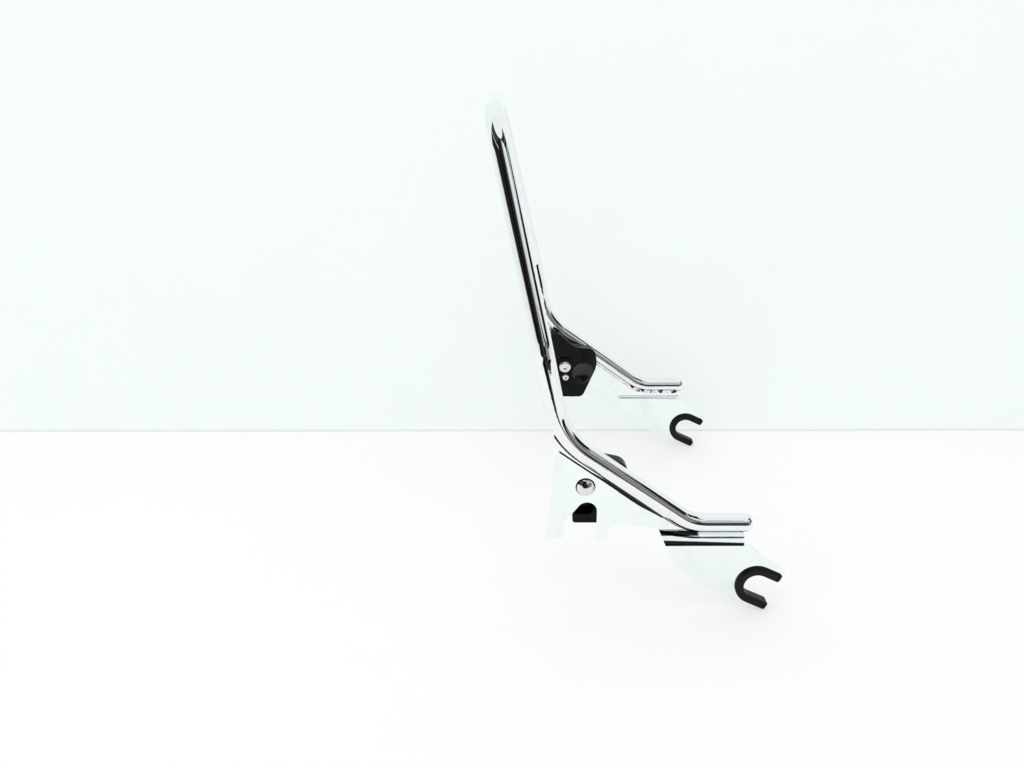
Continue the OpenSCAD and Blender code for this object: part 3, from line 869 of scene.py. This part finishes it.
class SISSYBAR_OT_studio(bpy.types.Operator):
    """Sets up the floor, the wall, the soft light and the camera"""

    bl_idname = "sissy_bar.studio"
    bl_label = "Studio"

    def execute(self, context):
        scene, studio = context.scene, context.scene.sissy_studio
        scene.view_settings.view_transform = "Standard"
        z, wall = studio.floor_height, studio.wall_place
        sheet("floor", (-4, -4, z), (8, 0, 0), (0, 8, 0), matt("Floor", studio.floor, studio.floor_glow))
        backdrop = matt("Wall", studio.wall, studio.wall_glow, z, True)
        sheet("wall", (-4, wall, z), (8, 0, 0), (0, 0, 3), backdrop)
        self.surround(studio)
        self.light(scene, studio)
        self.camera(scene, studio)
        return {"FINISHED"}

    def surround(self, studio):
        """The dark surfaces in front of the part, which only the chrome mirrors."""
        black, grey, white = (0.004, 0.004, 0.005), (0.5, 0.5, 0.5), (0.9, 0.9, 0.9)
        room, cool, z = tuple(studio.room), tuple(studio.cool), studio.floor_height
        pale, line = times(room, 1.1), times(room, 0.4)
        across = [
            (0.0, black), (0.26, black), (0.265, times(room, 0.8)), (0.275, black),
            (0.40, black), (0.41, times(room, 0.5)), (0.44, times(room, 0.3)), (0.45, black),
            (0.55, black), (0.56, times(room, 0.9)), (0.575, black),
            (0.62, black), (0.63, times(room, 0.8)), (0.65, black),
        ]
        middle = [
            (0.0, black), (0.10, black), (0.105, (0.6, 0.62, 0.64)), (0.118, black),
            (0.28, black), (0.31, cool), (0.60, (0.5, 0.55, 0.6)), (1.0, (0.6, 0.65, 0.7)),
        ]
        upward = [
            (0.0, black), (0.016, black), (0.020, (0.6, 0.6, 0.6)), (0.027, grey), (0.031, black),
            (0.046, black), (0.052, room), (0.10, pale), (0.105, line), (0.112, room),
            (0.16, pale), (0.166, line), (0.174, pale), (0.24, times(room, 1.2)),
            (0.247, times(room, 0.5)), (0.258, times(room, 1.2)), (0.33, room),
            (0.34, black), (0.36, black), (0.37, room), (0.43, times(room, 0.8)),
            (0.44, black), (0.49, black), (0.51, (0.7, 0.7, 0.7)),
            (0.66, (0.85, 0.86, 0.86)), (0.67, (0.4, 0.4, 0.4)), (0.69, white),
        ]
        shade = dark("Dark room", across, middle, upward, z)
        hidden = dict(visible_camera=False, visible_diffuse=False, visible_shadow=False)
        y, depth = studio.screen_place, studio.light_floor_end - studio.screen_place
        sheet("room_card", (-0.85, y, z), (2.8, 0, 0), (0, 0, 2.1), shade, **hidden)
        sheet("dark_floor", (-0.42, y, z + 0.001), (0.44, 0, 0), (0, depth, 0), shade, **hidden)
        sheet("dark_right", (0.02, y, z + 0.001), (2.0, 0, 0), (0, 0.47, 0), shade, **hidden)

    def light(self, scene, studio):
        """A soft even sky that the chrome sees as striped, and two soft lamps that it doesn't mirror."""
        world = bpy.data.worlds.new("Studio")
        scene.world = world
        graph = Graph(world)
        way = graph.add("SeparateXYZ", {}, {0: graph.add("TexCoord")["Generated"]})
        dim, cool = times(studio.room, 0.06), tuple(studio.cool)
        stops = [
            (0.0, (0.9, 0.92, 0.92)), (0.14, (0.8, 0.82, 0.82)), (0.2, dim), (0.5, dim),
            (0.52, cool), (0.56, cool), (0.58, dim), (0.70, dim), (0.715, times(cool, 0.6)),
            (0.73, dim), (0.82, dim), (0.86, (0.92, 0.94, 0.95)),
        ]
        mirrored = graph.add("ValToRGB", {"stops": stops}, {0: way[2]})[0]
        path = graph.add("LightPath")
        shade = graph.mix(path["Is Glossy Ray"], (0.97, 0.985, 0.985), mirrored)
        shade = graph.mix(path["Is Camera Ray"], shade, (0.95, 0.975, 0.975))
        strength = 0.84 + (path["Is Camera Ray"] + path["Is Glossy Ray"]) * 0.16
        light = graph.add("Background", {}, {"Color": shade, "Strength": strength})[0]
        graph.add("OutputWorld", {}, {"Surface": light})
        for name, place, size, power, turn in (
            ("Overhead", (-0.1, -0.45, 1.6), 1.8, 7, (math.radians(-8), 0, 0)),
            ("Left", (-1.5, -0.6, 0.9), 1.0, 1.5, (0, math.radians(-62), math.radians(20))),
        ):
            lamp = bpy.data.lights.new(name, "AREA")
            lamp.shape, lamp.size, lamp.energy = "SQUARE", size, power
            holder = bpy.data.objects.new(name, lamp)
            holder.location, holder.rotation_euler = place, turn
            holder.visible_glossy = False
            scene.collection.objects.link(holder)

    def camera(self, scene, studio):
        """The camera, at the height and angle of the photograph."""
        camera = bpy.data.objects.new("Camera", bpy.data.cameras.new("Camera"))
        scene.collection.objects.link(camera)
        camera.location = studio.camera_place
        camera.rotation_euler = (QUARTER_TURN - studio.camera_tilt, 0, -studio.camera_turn)
        camera.data.lens, camera.data.sensor_width = studio.lens, studio.sensor
        camera.data.clip_start = 0.01
        camera.data.dof.use_dof = False
        scene.camera = camera


class SISSYBAR_PT_panel(bpy.types.Panel):
    bl_label = "Sissy Bar"
    bl_idname = "SISSYBAR_PT_panel"
    bl_space_type = "VIEW_3D"
    bl_region_type = "UI"
    bl_category = "Sissy Bar"

    def draw(self, context):
        for name, group in GROUPS.items():
            box = self.layout.box()
            for key in group.__annotations__:
                box.prop(getattr(context.scene, name), key)
        for operator in OPERATORS:
            self.layout.operator(operator.bl_idname)


GROUPS = {
    "sissy_bar": BarShape,
    "sissy_weld": WeldShape,
    "sissy_marks": PaintedShadeShape,
    "sissy_liner": LinerShape,
    "sissy_latch": LatchShape,
    "sissy_finish": Finish,
    "sissy_studio": Studio,
}
OPERATORS = (
    SISSYBAR_OT_round_bar,
    SISSYBAR_OT_weld_beads,
    SISSYBAR_OT_dock_liners,
    SISSYBAR_OT_side_plates,
    SISSYBAR_OT_latches,
    SISSYBAR_OT_studio,
)


def register():
    for item in (*GROUPS.values(), *OPERATORS, SISSYBAR_PT_panel):
        bpy.utils.register_class(item)
    for name, group in GROUPS.items():
        setattr(bpy.types.Scene, name, PointerProperty(type=group))


def unregister():
    for name in GROUPS:
        delattr(bpy.types.Scene, name)
    for item in (SISSYBAR_PT_panel, *reversed(OPERATORS), *reversed(tuple(GROUPS.values()))):
        bpy.utils.unregister_class(item)


def main():
    register()
    for operator in OPERATORS:
        group, name = operator.bl_idname.split(".")
        getattr(getattr(bpy.ops, group), name)()
    bpy.context.view_layer.update()


if __name__ == "__main__":
    main()
